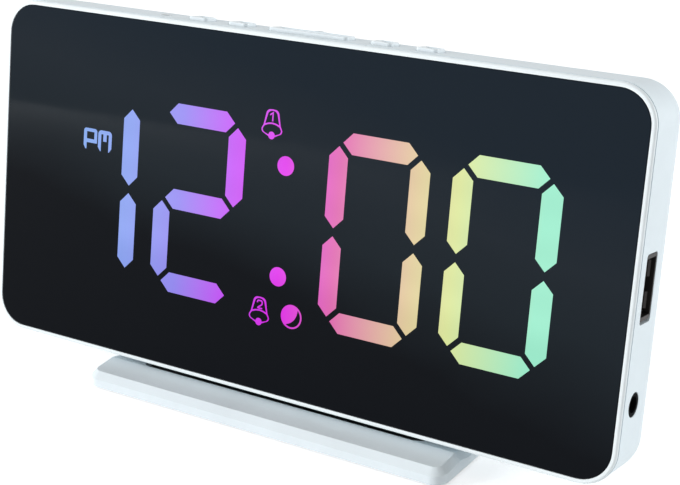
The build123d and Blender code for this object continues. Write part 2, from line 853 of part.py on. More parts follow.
# USB socket: shell with a flange and spring fingers, tongue and contacts
usb_mouth = half_width - usb_recess
usb_back = usb_mouth - usb_length
usb_low = usb_middle - usb_width / 2
usb_high = usb_middle + usb_width / 2
usb_near = usb_centre_depth - usb_height / 2
usb_far = usb_centre_depth + usb_height / 2
with BuildPart() as usb_shell:
    case_box((usb_back, usb_mouth), (usb_low, usb_high), (usb_near, usb_far))
    fillet(usb_shell.edges().filter_by(Axis.X), usb_sheet * 2)
    with BuildSketch(plane_right(usb_mouth, usb_middle, usb_centre_depth)):
        RectangleRounded(usb_flange_width, usb_flange_height, usb_hole_corner)
    extrude(amount=-usb_sheet)
    case_box(
        (usb_back + usb_sheet, usb_mouth + cut_overrun), (usb_low + usb_sheet, usb_high - usb_sheet),
        (usb_near + usb_sheet, usb_far - usb_sheet), mode=Mode.SUBTRACT,
    )
    for side in (-1, 1):
        finger = usb_middle + side * usb_finger_place
        for wall, into in ((usb_near, 1), (usb_far, -1)):
            root = wall + into * usb_sheet / 2
            with BuildSketch(plane_up(usb_mouth, finger - usb_finger_width / 2, root)):
                Polygon(
                    (-usb_finger_start, 0), (-usb_finger_end, 0),
                    (-usb_finger_peak, into * (usb_finger_height + usb_sheet / 2)), align=None,
                )
            extrude(amount=usb_finger_width)
save(usb_shell, "usb_shell")
tongue_root = usb_back + usb_sheet + running_gap
tongue_tip = tongue_root + usb_tongue_length
tongue_far = usb_far - usb_sheet - usb_tongue_offset
tongue_near = tongue_far - usb_tongue_thickness
with BuildPart() as usb_tongue:
    case_box(
        (tongue_root, tongue_root + usb_tongue_thickness),
        (usb_low + usb_sheet + running_gap, usb_high - usb_sheet - running_gap),
        (usb_near + usb_sheet + running_gap, usb_far - usb_sheet - running_gap),
    )
    case_box(
        (tongue_root, tongue_tip),
        (usb_middle - usb_tongue_width / 2, usb_middle + usb_tongue_width / 2),
        (tongue_near, tongue_far),
    )
save(usb_tongue, "usb_tongue")
with BuildPart() as usb_contacts:
    for step in (-1.5, -0.5, 0.5, 1.5):
        middle = usb_middle + step * usb_contact_pitch
        case_box(
            (tongue_root + usb_tongue_thickness, tongue_tip - usb_contact_width),
            (middle - usb_contact_width / 2, middle + usb_contact_width / 2),
            (tongue_near - usb_contact_thickness, tongue_near),
        )
save(usb_contacts, "usb_contacts")

# Power socket: body with a collar in the housing's wall and a round bore, and its centre pin
jack_mouth = inner_half_width - running_gap
jack_back = jack_mouth - jack_length
jack_floor = jack_mouth - jack_bore_length


def jack_bar(left, right, radius, mode=Mode.ADD):
    """A round bar on the power socket's axis."""
    with Locations(plane_right((left + right) / 2, jack_middle, jack_centre_depth)):
        Cylinder(radius, right - left, mode=mode)


with BuildPart() as jack_body:
    case_box(
        (jack_back, jack_mouth),
        (jack_middle - jack_width / 2, jack_middle + jack_width / 2),
        (jack_centre_depth - jack_height / 2, jack_centre_depth + jack_height / 2),
    )
    jack_bar(jack_mouth - cut_overrun, half_width - jack_collar_recess, jack_collar_radius)
    jack_bar(jack_floor, half_width, jack_bore_radius, mode=Mode.SUBTRACT)
    jack_bar(
        jack_back - cut_overrun, jack_floor + cut_overrun, jack_pin_radius + running_gap, mode=Mode.SUBTRACT
    )
save(jack_body, "jack_body")
with BuildPart() as jack_pin:
    jack_bar(jack_back, jack_floor + jack_pin_length, jack_pin_radius)
    fillet(jack_pin.faces().sort_by(Axis.X)[-1].edges(), jack_pin_radius / 2)
save(jack_pin, "jack_pin")

# Loudspeaker
magnet_far = rear_inner - speaker_frame_depth
cone_root = magnet_far + speaker_floor + speaker_cone_thickness
with BuildPart() as speaker_frame:
    case_disc(speaker_place, speaker_radius, magnet_far, rear_inner)
    cut_disc(
        speaker_place, speaker_radius - speaker_rim, magnet_far + speaker_floor, rear_inner + cut_overrun
    )
save(speaker_frame, "speaker_frame")
with BuildPart() as speaker_magnet:
    case_disc(speaker_place, speaker_magnet_radius, magnet_far - speaker_magnet_thickness, magnet_far)
    chamfer(speaker_magnet.faces().sort_by(inward)[0].edges(), speaker_cone_thickness)
save(speaker_magnet, "speaker_magnet")
cone_edge = speaker_radius - speaker_rim - seat_gap
cone_dome = speaker_magnet_radius / 2
with BuildPart() as speaker_cone:
    with BuildSketch(plane_up(speaker_place[0], speaker_place[1], 0)):
        Polygon(
            (0, cone_root),
            (cone_dome, cone_root),
            (cone_edge, cone_root + speaker_cone_drop),
            (cone_edge, cone_root + speaker_cone_drop + speaker_cone_thickness),
            (cone_dome, cone_root + speaker_cone_thickness),
            (0, cone_root + speaker_cone_thickness),
            align=None,
        )
    revolve(axis=Axis(case_point(speaker_place[0], speaker_place[1], 0), -front.z_dir))
save(speaker_cone, "speaker_cone")

# Backup cell, its contact, its door and the door's screw
cell_far = door_seat - running_gap
cell_near = cell_far - cell_thickness
with BuildPart() as coin_cell:
    case_disc(cell_place, cell_radius, cell_near, cell_far)
    chamfer(coin_cell.edges(), contact_thickness)
save(coin_cell, "coin_cell")
with BuildPart() as cell_contact:
    case_box(
        (cell_place[0] - contact_length / 2, cell_place[0] + contact_length / 2),
        (cell_place[1] - contact_width / 2, cell_place[1] + contact_width / 2),
        (well_floor, cell_near),
    )
    case_box(
        (leg_left, leg_left + contact_thickness),
        (cell_up - contact_width / 2, cell_up + contact_width / 2),
        (board_rear, well_floor),
    )
save(cell_contact, "cell_contact")
door_near = case_depth - door_thickness
door_screw_seat = case_depth - door_thickness / 2
with BuildPart() as battery_cover:
    with BuildSketch(at_depth(door_near)):
        with Locations(door_place):
            RectangleRounded(door_width, door_height, door_corner)
    extrude(amount=-door_thickness)
    fillet(battery_cover.faces().sort_by(inward)[-1].edges(), door_edge)
    cut_disc(door_screw_place, door_screw_head + seat_gap, door_screw_seat, case_depth + cut_overrun)
    cut_disc(door_screw_place, door_screw_radius + running_gap, door_near - cut_overrun, case_depth)
save(battery_cover, "battery_cover")
with BuildPart() as battery_cover_screw:
    cross_screw(
        door_screw_place, door_screw_seat, door_screw_head, door_thickness / 2, door_screw_radius,
        well_floor + seat_gap, True,
    )
save(battery_cover_screw, "battery_cover_screw")

# Heights inside the base
shell_bottom = pad_thickness
cover_top = pad_thickness + cover_thickness
foot_top = cover_top + foot_thickness
base_front = -base_depth / 2
base_rear = base_depth / 2
ramp_slope = (rear_height - valley_height) / (base_rear - (base_front + valley_end))


def ramp_height(place):
    """Height of the ramp behind the case at a place along Y."""
    return valley_height + ramp_slope * (place - base_front - valley_end)


def base_profile(lowered, floor):
    """The base's side outline, its top lowered by a wall."""
    Polygon(
        (base_front, floor),
        (base_front, front_height - lowered),
        (base_front + ridge_setback, ridge_height - lowered),
        (base_front + valley_setback, valley_height - lowered),
        (base_front + valley_end, valley_height - lowered),
        (base_rear, rear_height - lowered),
        (base_rear, floor),
        align=None,
    )


bracket_screw_column = base_width / 2 - bracket_screw_inset
cover_screw_column = base_width / 2 - cover_screw_side_inset
bracket_screw_places = [
    (side * bracket_screw_column, base_front + setback)
    for side in (-1, 1)
    for setback in (bracket_screw_near, bracket_screw_far)
]
cover_screw_places = [(side * cover_screw_column, base_rear - cover_screw_rear_inset) for side in (-1, 1)]

# Hollow of the base's upper shell
with BuildPart() as base_hollow:
    with BuildSketch(Plane.XY):
        RectangleRounded(base_width - 2 * base_wall, base_depth - 2 * base_wall, base_corner - base_wall)
    extrude(amount=rear_height)
    with BuildSketch(Plane.YZ):
        base_profile(base_top_wall, 0)
    extrude(amount=base_width / 2, both=True, mode=Mode.INTERSECT)

# Base's upper shell
with BuildPart() as base_shell:
    with BuildSketch(Plane.XY.offset(shell_bottom)):
        RectangleRounded(base_width, base_depth, base_corner)
    extrude(amount=rear_height)
    with BuildSketch(Plane.YZ):
        base_profile(0, shell_bottom)
    extrude(amount=base_width / 2, both=True, mode=Mode.INTERSECT)
    top_faces = base_shell.faces().filter_by(lambda face: face.normal_at().Z > level_share)
    wall_faces = base_shell.faces().filter_by(lambda face: abs(face.normal_at().Z) < 1 - level_share)
    chamfer(top_faces.edges() & wall_faces.edges(), base_bevel)
    add(base_hollow.part, mode=Mode.SUBTRACT)
    for place in bracket_screw_places:
        with BuildSketch(Plane.XY.offset(foot_top)):
            with Locations(place):
                Circle(bracket_boss_radius)
        extrude(amount=valley_height - foot_top - base_top_wall / 2)
    for place in cover_screw_places:
        with BuildSketch(Plane.XY.offset(cover_top)):
            with Locations(place):
                Circle(cover_boss_radius)
        extrude(amount=ramp_height(place[1]) - cover_top - base_top_wall / 2)
    with BuildSketch(Plane.XY.offset(foot_top)):
        with Locations((0, base_front + slot_setback + slot_depth / 2)):
            RectangleRounded(slot_width, slot_depth, slot_corner)
    extrude(amount=rear_height, mode=Mode.SUBTRACT)
    with BuildSketch(Plane.XY):
        with Locations(*bracket_screw_places, *cover_screw_places):
            Circle(base_screw_radius + running_gap)
    extrude(amount=valley_height - base_top_wall / 2, mode=Mode.SUBTRACT)
save(base_shell, "base_shell")

# Base's underside cover and the rubber pad below it
with BuildPart() as base_cover:
    with BuildSketch(Plane.XY.offset(shell_bottom)):
        RectangleRounded(
            base_width - 2 * (base_wall + seat_gap), base_depth - 2 * (base_wall + seat_gap),
            base_corner - base_wall,
        )
    extrude(amount=cover_thickness)
    with BuildSketch(Plane.XY):
        with Locations(*bracket_screw_places, *cover_screw_places):
            Circle(base_screw_radius + running_gap)
    extrude(amount=cover_top + cut_overrun, mode=Mode.SUBTRACT)
    with BuildSketch(Plane.XY):
        with Locations(*bracket_screw_places, *cover_screw_places):
            Circle(base_screw_head + seat_gap)
    extrude(amount=shell_bottom + base_screw_head_height, mode=Mode.SUBTRACT)
save(base_cover, "base_cover")
with BuildPart() as base_pad:
    with BuildSketch(Plane.XY):
        RectangleRounded(base_width - 2 * pad_inset, base_depth - 2 * pad_inset, base_corner - pad_inset)
    extrude(amount=pad_thickness)
save(base_pad, "base_pad")

# Weight under the ramp
weight_front = base_front + weight_setback
weight_rear = base_rear - weight_inset
weight_drop = base_top_wall + seat_gap
with BuildPart() as base_weight:
    with BuildSketch(Plane.YZ):
        Polygon(
            (weight_front, cover_top),
            (weight_rear, cover_top),
            (weight_rear, ramp_height(weight_rear) - weight_drop),
            (weight_front, ramp_height(weight_front) - weight_drop),
            align=None,
        )
    extrude(amount=base_width / 2 - weight_inset, both=True)
    with BuildSketch(Plane.XY):
        with Locations(*cover_screw_places):
            Circle(cover_boss_radius + seat_gap)
    extrude(amount=rear_height, mode=Mode.SUBTRACT)
save(base_weight, "base_weight")

# Stand bracket: foot plate, neck and the barrel round the hinge pin
foot_y = base_front + foot_setback + foot_depth / 2
with BuildPart() as stand_bracket:
    with BuildSketch(Plane.XY.offset(cover_top)):
        with Locations((0, foot_y)):
            RectangleRounded(base_width - 2 * foot_inset, foot_depth, foot_corner)
    extrude(amount=foot_thickness)
    with BuildSketch(Plane.XY.offset(cover_top)):
        with Locations((0, hinge_y)):
            Rectangle(2 * neck_half, neck_thickness)
    extrude(amount=hinge_z - cover_top)
    hinge_bar(-neck_half, neck_half, barrel_radius)
    hinge_bar(-neck_half - cut_overrun, neck_half + cut_overrun, pin_radius + running_gap, mode=Mode.SUBTRACT)
    with BuildSketch(Plane.XY):
        with Locations(*bracket_screw_places):
            Circle(base_screw_radius + running_gap)
    extrude(amount=foot_top + cut_overrun, mode=Mode.SUBTRACT)
save(stand_bracket, "stand_bracket")


def base_screw(place, tip):
    """A screw from below into the base, its head let into the cover."""
    with Locations((place[0], place[1], shell_bottom + base_screw_head_height / 2)):
        Cylinder(base_screw_head, base_screw_head_height)
    with Locations((place[0], place[1], (shell_bottom + tip) / 2)):
        Cylinder(base_screw_radius, tip - shell_bottom)


screw_tip = valley_height - base_top_wall / 2 - seat_gap
with BuildPart() as bracket_screws:
    for place in bracket_screw_places:
        base_screw(place, screw_tip)
save(bracket_screws, "bracket_screws")
with BuildPart() as cover_screws:
    for place in cover_screw_places:
        base_screw(place, screw_tip)
save(cover_screws, "cover_screws")

# Hinge pin with a groove near each end, spring washers and retaining clips
clip_inner = cheek_outer + running_gap
clip_outer = clip_inner + clip_thickness
pin_half = clip_outer + running_gap + pin_end
with BuildPart() as hinge_pin:
    hinge_bar(-pin_half, pin_half, pin_radius)
    chamfer(hinge_pin.edges(), clip_groove)
    for side in (-1, 1):
        groove = sorted((side * (clip_inner - running_gap), side * (clip_outer + running_gap)))
        hinge_bar(*groove, pin_radius + cut_overrun, mode=Mode.SUBTRACT)
        hinge_bar(*groove, pin_radius - clip_groove)
save(hinge_pin, "hinge_pin")
with BuildPart() as hinge_washers:
    for side in (-1, 1):
        with BuildSketch(Plane(origin=(0, hinge_y, hinge_z), x_dir=(1, 0, 0), z_dir=(0, -1, 0))):
            Polygon(
                (side * (neck_half + running_gap), pin_radius + running_gap),
                (side * (neck_half + running_gap + washer_cone), pin_radius + running_gap),
                (side * washer_outer, washer_radius),
                (side * (washer_outer - washer_cone), washer_radius),
                align=None,
            )
        revolve(axis=Axis((0, hinge_y, hinge_z), (1, 0, 0)))
save(hinge_washers, "hinge_washers")
with BuildPart() as hinge_clips:
    for side in (-1, 1):
        ends = sorted((side * clip_inner, side * clip_outer))
        hinge_bar(*ends, clip_radius)
        hinge_bar(*ends, pin_radius - clip_groove + running_gap, mode=Mode.SUBTRACT)
        with Locations((sum(ends) / 2, hinge_y, hinge_z + clip_radius)):
            Box(clip_thickness + cut_overrun, pin_radius, 2 * clip_radius, mode=Mode.SUBTRACT)
save(hinge_clips, "hinge_clips")
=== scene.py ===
"""Digital LED desk clock: finishes, lit display, floor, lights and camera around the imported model."""

import json
from math import cos, pi, radians, sin, tan

import bmesh
import bpy
from mathutils import Matrix, Vector


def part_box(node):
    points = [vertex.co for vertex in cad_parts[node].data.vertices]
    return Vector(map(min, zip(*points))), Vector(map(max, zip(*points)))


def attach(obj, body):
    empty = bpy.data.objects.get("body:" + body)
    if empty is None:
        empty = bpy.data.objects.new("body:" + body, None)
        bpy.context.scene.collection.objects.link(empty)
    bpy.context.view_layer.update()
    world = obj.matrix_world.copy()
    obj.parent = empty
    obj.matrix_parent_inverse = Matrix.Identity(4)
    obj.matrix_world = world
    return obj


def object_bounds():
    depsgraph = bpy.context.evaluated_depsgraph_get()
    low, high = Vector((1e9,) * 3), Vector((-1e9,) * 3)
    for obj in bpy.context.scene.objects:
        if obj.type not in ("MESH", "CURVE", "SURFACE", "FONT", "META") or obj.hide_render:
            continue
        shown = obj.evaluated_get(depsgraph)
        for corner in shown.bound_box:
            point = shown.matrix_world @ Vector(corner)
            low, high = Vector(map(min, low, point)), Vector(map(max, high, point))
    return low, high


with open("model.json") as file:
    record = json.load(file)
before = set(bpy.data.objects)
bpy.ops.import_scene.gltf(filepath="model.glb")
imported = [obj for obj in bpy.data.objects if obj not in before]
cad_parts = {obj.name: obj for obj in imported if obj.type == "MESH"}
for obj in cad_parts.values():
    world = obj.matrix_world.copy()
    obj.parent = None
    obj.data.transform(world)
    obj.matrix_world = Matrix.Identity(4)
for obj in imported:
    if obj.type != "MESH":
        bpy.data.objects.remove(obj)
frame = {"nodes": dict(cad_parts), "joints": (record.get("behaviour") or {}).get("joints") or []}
cad_low, cad_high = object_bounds()

mm = 0.001
nodes = frame["nodes"]

# the panel's own axes, from the keys' travel and the lens
key_travel = {joint["name"]: joint for joint in frame["joints"]}["snooze_press"]["axis"]
across = Vector((1, 0, 0))
up = -Vector(key_travel).normalized()
out = across.cross(up)
lens_low, lens_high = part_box("front_lens")
lens_middle = (lens_low + lens_high) / 2
lens_corners = [vertex.co - lens_middle for vertex in nodes["front_lens"].data.vertices]
lens_half_width = max(corner.dot(across) for corner in lens_corners)
lens_front = max(corner.dot(out) for corner in lens_corners)


def panel_matrix(proud):
    """Takes millimetres across and up the panel to the model's metres, that far in front of the lens."""
    origin = lens_middle + out * (lens_front + proud)
    turned = Matrix((across, up, out)).transposed().to_4x4()
    return Matrix.Translation(origin) @ turned @ Matrix.Scale(mm, 4)


# node materials


def tone(red, green, blue):
    """A colour given in the 0 to 255 values that a screen shows, as the linear colour a shader takes."""
    shares = [channel / 255 for channel in (red, green, blue)]
    linear = [s / 12.92 if s <= 0.04045 else ((s + 0.055) / 1.055) ** 2.4 for s in shares]
    return (*linear, 1)


def shaded(colour, share):
    """The colour times that share, with its alpha kept."""
    return (*(channel * share for channel in colour[:3]), 1)


# most values of a noise texture lie between these two

noise_low, noise_high = 0.3, 0.7


def mottled(colour, variation):
    """Ramp stops that darken and lighten the colour by that share as noise runs from low to high."""
    return (noise_low, shaded(colour, 1 - variation)), (noise_high, shaded(colour, 1 + variation))


class Recipe:
    """A material's node tree, with short calls for the nodes that the finishes share."""

    def __init__(self, name):
        self.material = bpy.data.materials.new(name)
        self.material.use_nodes = True
        self.tree = self.material.node_tree
        self.tree.nodes.clear()
        self.output = self.add("ShaderNodeOutputMaterial")
        self.shader = self.add("ShaderNodeBsdfPrincipled")
        self.join(self.shader, "BSDF", self.output, "Surface")
        self.place = self.add("ShaderNodeTexCoord")

    def add(self, kind, **settings):
        node = self.tree.nodes.new(kind)
        for setting, value in settings.items():
            setattr(node, setting, value)
        return node

    def join(self, source, source_socket, target, target_socket):
        self.tree.links.new(source.outputs[source_socket], target.inputs[target_socket])

    def set(self, **values):
        """Sets the shader's own sockets: words joined by underscores name the socket."""
        for name, value in values.items():
            self.shader.inputs[name.replace("_", " ")].default_value = value

    def noise(self, size, detail=3.0, stretch=(1, 1, 1)):
        """Noise with features of that size in metres, longer along an axis whose stretch is above 1."""
        mapping = self.add("ShaderNodeMapping")
        mapping.inputs["Scale"].default_value = [1 / (size * share) for share in stretch]
        self.join(self.place, "Object", mapping, "Vector")
        noise = self.add("ShaderNodeTexNoise")
        noise.inputs["Scale"].default_value = 1
        noise.inputs["Detail"].default_value = detail
        self.join(mapping, "Vector", noise, "Vector")
        return noise

    def ramp(self, source, socket, stops, target, target_socket):
        """A colour ramp from (place, colour) stops between the two sockets."""
        ramp = self.add("ShaderNodeValToRGB")
        elements = ramp.color_ramp.elements
        while len(elements) < len(stops):
            elements.new(0.5)
        for element, (place, colour) in zip(elements, stops):
            element.position, element.color = place, colour
        self.join(source, socket, ramp, "Fac")
        self.join(ramp, "Color", target, target_socket)

    def way(self, source, socket, low, high):
        """A node that gives how far the source's value is from low to high, from 0 to 1."""
        node = self.add("ShaderNodeMapRange")
        node.inputs["From Min"].default_value = low
        node.inputs["From Max"].default_value = high
        self.join(source, socket, node, "Value")
        return node

    def spread(self, noise, low, high, target_socket):
        """Drives a socket of the shader from low to high with the noise."""
        node = self.way(noise, "Fac", noise_low, noise_high)
        node.inputs["To Min"].default_value = low
        node.inputs["To Max"].default_value = high
        self.join(node, "Result", self.shader, target_socket)

    def scaled(self, source, socket, slope, base):
        """A node whose value is the source's times the slope, plus the base."""
        node = self.add("ShaderNodeMath", operation="MULTIPLY_ADD")
        node.inputs[1].default_value = slope
        node.inputs[2].default_value = base
        self.join(source, socket, node, 0)
        return node

    def blended(self, source, socket, share, other, other_socket):
        """A node whose value is the source's times the share, plus the other's."""
        node = self.scaled(source, socket, share, 0)
        self.join(other, other_socket, node, 2)
        return node

    def relief(self, noise, depth, strength):
        """Bump of that depth in metres from the noise."""
        bump = self.add("ShaderNodeBump")
        bump.inputs["Strength"].default_value = strength
        bump.inputs["Distance"].default_value = depth
        self.join(noise, "Fac", bump, "Height")
        self.join(bump, "Normal", self.shader, "Normal")


def plastic(
    name, colour, roughness, grain=0.35 * mm, depth=0.004 * mm, variation=0.03, blotch=14 * mm, **extra
):
    """Moulded plastic: fine spark-eroded grain, faint blotches and a sheen that varies a little."""
    recipe = Recipe(name)
    blotches = recipe.noise(blotch, detail=4)
    recipe.ramp(blotches, "Fac", mottled(colour, variation), recipe.shader, "Base Color")
    recipe.spread(blotches, roughness * 0.92, roughness * 1.08, "Roughness")
    recipe.relief(recipe.noise(grain, detail=2), depth, strength=0.6)
    recipe.set(**extra)
    return recipe.material


def metal(name, colour, roughness, stretch=(1, 1, 1), grain=0.12 * mm, depth=0.003 * mm, variation=0.12):
    """Plated or ground metal: fine lines along the longest stretch, with a dull, uneven film."""
    recipe = Recipe(name)
    film = recipe.noise(3 * mm, detail=4)
    recipe.ramp(film, "Fac", mottled(colour, variation), recipe.shader, "Base Color")
    lines = recipe.noise(grain, detail=2, stretch=stretch)
    recipe.spread(lines, roughness * 0.8, roughness * 1.25, "Roughness")
    recipe.relief(lines, depth, strength=0.7)
    recipe.set(Metallic=1)
    return recipe.material


white = tone(225, 237, 243)
finishes = {
    "white_shell": plastic("white_shell", white, 0.42, Specular_IOR_Level=0.45),
    # front_rim is a lighter copy of the shell's white: its extra brightness is painted light on the
    # front-facing rim
    "front_rim": plastic("front_rim", tone(240, 248, 251), 0.3, depth=0.002 * mm, Specular_IOR_Level=0.5),
    # base_plastic is a lighter copy of the shell's white: its extra brightness is painted light against the
    # case's shade on the base top
    "base_plastic": plastic("base_plastic", tone(233, 243, 248), 0.4, Specular_IOR_Level=0.45),
    "base_underside": plastic("base_underside", tone(206, 214, 218), 0.6),
    # key_plastic is a lighter copy of the shell's white: its extra brightness is painted light on the lit
    # key fronts
    "key_plastic": plastic("key_plastic", tone(238, 246, 250), 0.28, depth=0.002 * mm),
    "wheel_plastic": plastic("wheel_plastic", tone(214, 224, 228), 0.5),
    "tape": plastic("tape", tone(34, 34, 34), 0.9, depth=0.02 * mm),
    "mask": plastic("mask", tone(24, 24, 25), 0.7),
    "lit_caps": plastic("lit_caps", tone(226, 196, 236), 0.35),
    "dark_caps": plastic("dark_caps", tone(92, 92, 96), 0.4),
    "led": plastic("led", tone(238, 231, 178), 0.3, blotch=1 * mm),
    "board": plastic("board", tone(30, 108, 62), 0.35, grain=0.8 * mm, depth=0.02 * mm, variation=0.12),
    "chips": plastic("chips", tone(36, 36, 38), 0.5, grain=0.15 * mm),
    "switches": plastic("switches", tone(48, 48, 50), 0.5),
    "pot": plastic("pot", tone(70, 70, 74), 0.5),
    "sensor_window": plastic("sensor_window", tone(192, 200, 204), 0.2, depth=0.001 * mm),
    "socket_plastic": plastic("socket_plastic", tone(11, 12, 15), 0.7, Specular_IOR_Level=0.03),
    "cone_paper": plastic(
        "cone_paper", tone(52, 50, 49), 0.85, grain=0.25 * mm, depth=0.03 * mm, variation=0.15
    ),
    "pad_rubber": plastic(
        "pad_rubber", tone(52, 52, 54), 0.85, grain=0.5 * mm, depth=0.03 * mm, variation=0.1
    ),
    "screw_steel": metal("screw_steel", tone(196, 198, 202), 0.35),
    # usb_steel is far darker than plated steel: its dark tone is painted shade inside the socket's opening
    "usb_steel": metal("usb_steel", tone(60, 58, 58), 0.45, stretch=(8, 1, 1)),
    "contact_metal": metal("contact_metal", tone(226, 190, 104), 0.25),
    "speaker_steel": metal("speaker_steel", tone(178, 180, 184), 0.4),
    "cell_steel": metal("cell_steel", tone(208, 210, 214), 0.25),
    "bracket_steel": plastic("bracket_steel", tone(26, 34, 38), 0.5, variation=0.1, Specular_IOR_Level=0.25),
    "hinge_steel": metal("hinge_steel", tone(190, 192, 196), 0.3, stretch=(6, 1, 1)),
    "weight_iron": metal(
        "weight_iron", tone(120, 119, 117), 0.65, grain=0.6 * mm, depth=0.03 * mm, variation=0.2
    ),
}


# painted reflection: the lens's tone rises with height, and with the place across by this share; clouds of
# painted reflection shift it up and down

reflection_lean = 0.2
reflection_cloud_size = 26 * mm
reflection_cloud_lift = 14 * mm


def lens_with_painted_reflection():
    """The half-mirror lens: nearly black, with painted reflection that makes it lighter above and to the
    right, and faint clouds of painted reflection, which also vary its gloss.
    """
    recipe = Recipe("mirror_lens")
    split = recipe.add("ShaderNodeSeparateXYZ")
    recipe.join(recipe.place, "Object", split, "Vector")
    reflection_place = recipe.blended(split, "X", reflection_lean, split, "Z")
    reflection_clouds = recipe.noise(reflection_cloud_size, stretch=(2.4, 1, 1))
    clouded_reflection_place = recipe.blended(reflection_clouds, "Fac", reflection_cloud_lift, reflection_place, "Value")
    height = recipe.way(clouded_reflection_place, "Value", lens_low.z, lens_high.z)
    # these stops paint the reflection: dark at the foot, lighter blue-grey above
    stops = (
        (0.0, tone(13, 16, 21)),
        (0.36, tone(15, 18, 23)),
        (0.6, tone(30, 37, 43)),
        (0.8, tone(34, 41, 48)),
        (1.0, tone(29, 38, 47)),
    )
    recipe.ramp(height, "Result", stops, recipe.shader, "Base Color")
    recipe.spread(reflection_clouds, 0.02, 0.05, "Roughness")
    recipe.set(Specular_IOR_Level=0.04)
    return recipe.material


finishes["mirror_lens"] = lens_with_painted_reflection()

for node in nodes.values():
    for place in node.material_slots:
        place.material = finishes[place.material.name.split(".")[0]]

# the lit display: thin glowing plates on the lens, over the caps' light wells

light_proud = 0.01 * mm
light_thickness = 0.03 * mm

# the digits and signs are drawn in millimetres across and up from the panel's middle

digit_middles = (-56.0, -24.5, 24.5, 56.0)
digit_half_width = 10.53
digit_half_height = 20.85
bar_half_width = 2.455
bar_gap = 0.95
dot_radius = 2.29
dot_heights = (13.1, -13.24)
shown = ("bc", "abdeg", "abcdef", "abcdef")

# from this far below the panel's middle the glow gets richer and dimmer, and it ripples with height

glow_fade_start = 9.0
glow_richer = 0.07
glow_dimmer = 0.08
glow_ripple = 0.02


def display_light():
    """The glow: its colour runs across the panel from blue through violet, pink and yellow to mint."""
    recipe = Recipe("display_light")
    split = recipe.add("ShaderNodeSeparateXYZ")
    recipe.join(recipe.place, "Object", split, "Vector")
    run = recipe.way(split, "X", -lens_half_width, lens_half_width)
    colours = (
        (-60, tone(140, 175, 240)),
        (-45, tone(150, 170, 245)),
        (-30, tone(160, 150, 245)),
        (-15, tone(205, 105, 250)),
        (0, tone(230, 75, 240)),
        (15, tone(230, 120, 185)),
        (35, tone(230, 210, 165)),
        (45, tone(225, 235, 165)),
        (65, tone(165, 240, 210)),
    )
    half = lens_half_width / mm
    stops = [((x + half) / (2 * half), colour) for x, colour in colours]
    depth = recipe.add("ShaderNodeHueSaturation")
    recipe.join(depth, "Color", recipe.shader, "Emission Color")
    recipe.ramp(run, "Result", stops, depth, "Color")
    digits_foot = lens_middle.z - digit_half_height * mm
    dusk = recipe.way(split, "Z", digits_foot, lens_middle.z - glow_fade_start * mm)
    richer = recipe.scaled(dusk, "Result", -glow_richer, 1 + glow_richer)
    recipe.join(richer, "Value", depth, "Saturation")
    dimmer = recipe.scaled(dusk, "Result", glow_dimmer, 1 - glow_dimmer - glow_ripple)
    waves = 2 * pi / (digit_half_height / 2 * mm)
    wave = recipe.scaled(split, "Z", waves, -lens_middle.z * waves)
    ripple = recipe.add("ShaderNodeMath", operation="COSINE")
    recipe.join(wave, "Value", ripple, 0)
    brightness = recipe.blended(ripple, "Value", glow_ripple, dimmer, "Value")
    recipe.join(brightness, "Value", depth, "Value")
    recipe.set(Base_Color=(0.002, 0.002, 0.002, 1), Emission_Strength=1)
    recipe.set(Roughness=0.3, Specular_IOR_Level=0.1)
    return recipe.material


glow = display_light()
arc_degrees = 9
arc_step = radians(arc_degrees)


def arc(x, y, radius, start, end):
    """Points on an arc, from one angle in degrees to the other."""
    turn = radians(end - start)
    steps = max(2, round(abs(turn) / arc_step))
    angles = [radians(start) + turn * step / steps for step in range(steps + 1)]
    return [(x + radius * cos(angle), y + radius * sin(angle)) for angle in angles]


def disc(x, y, radius):
    """A full circle, whose last point is a step short of its first."""
    return arc(x, y, radius, 0, 360 - arc_degrees)


def rounded(corners, closed=True):
    """A path through (x, y, radius) corners, each rounded by its radius as far as its sides allow."""
    points = []
    count = len(corners)
    for index, (x, y, radius) in enumerate(corners):
        here = Vector((x, y))
        if radius == 0 or (not closed and index in (0, count - 1)):
            points.append((x, y))
            continue
        before = Vector(corners[index - 1][:2]) - here
        after = Vector(corners[(index + 1) % count][:2]) - here
        opening = before.angle(after)
        reach = min(radius / tan(opening / 2), before.length / 2, after.length / 2)
        fitted = reach * tan(opening / 2)
        first, last = before.normalized(), after.normalized()
        middle = here + (first + last).normalized() * fitted / sin(opening / 2)
        start, end = here + first * reach - middle, here + last * reach - middle
        steps = max(2, round((pi - opening) / arc_step))
        for step in range(steps + 1):
            share = step / steps
            turned = start * sin((1 - share) * (pi - opening)) + end * sin(share * (pi - opening))
            points.append(tuple(middle + turned / sin(pi - opening)))
    return points


def stroke(path, width):
    """The outline of a line of that width along an open path; no corner reaches out past the width."""
    left, right = [], []
    for index, point in enumerate(path):
        here = Vector(point)
        sides = []
        if index > 0:
            sides.append((here - Vector(path[index - 1])).normalized())
        if index < len(path) - 1:
            sides.append((Vector(path[index + 1]) - here).normalized())
        along = sum(sides, Vector((0, 0))).normalized()
        square = Vector((-along.y, along.x))
        reach = width / 2 / max(0.5, along.dot(sides[0]))
        left.append(tuple(here + square * reach))
        right.append(tuple(here - square * reach))
    return left + right[::-1]


def moved(outline, x, y):
    """The outline set that far across and up."""
    return [(x + point[0], y + point[1]) for point in outline]


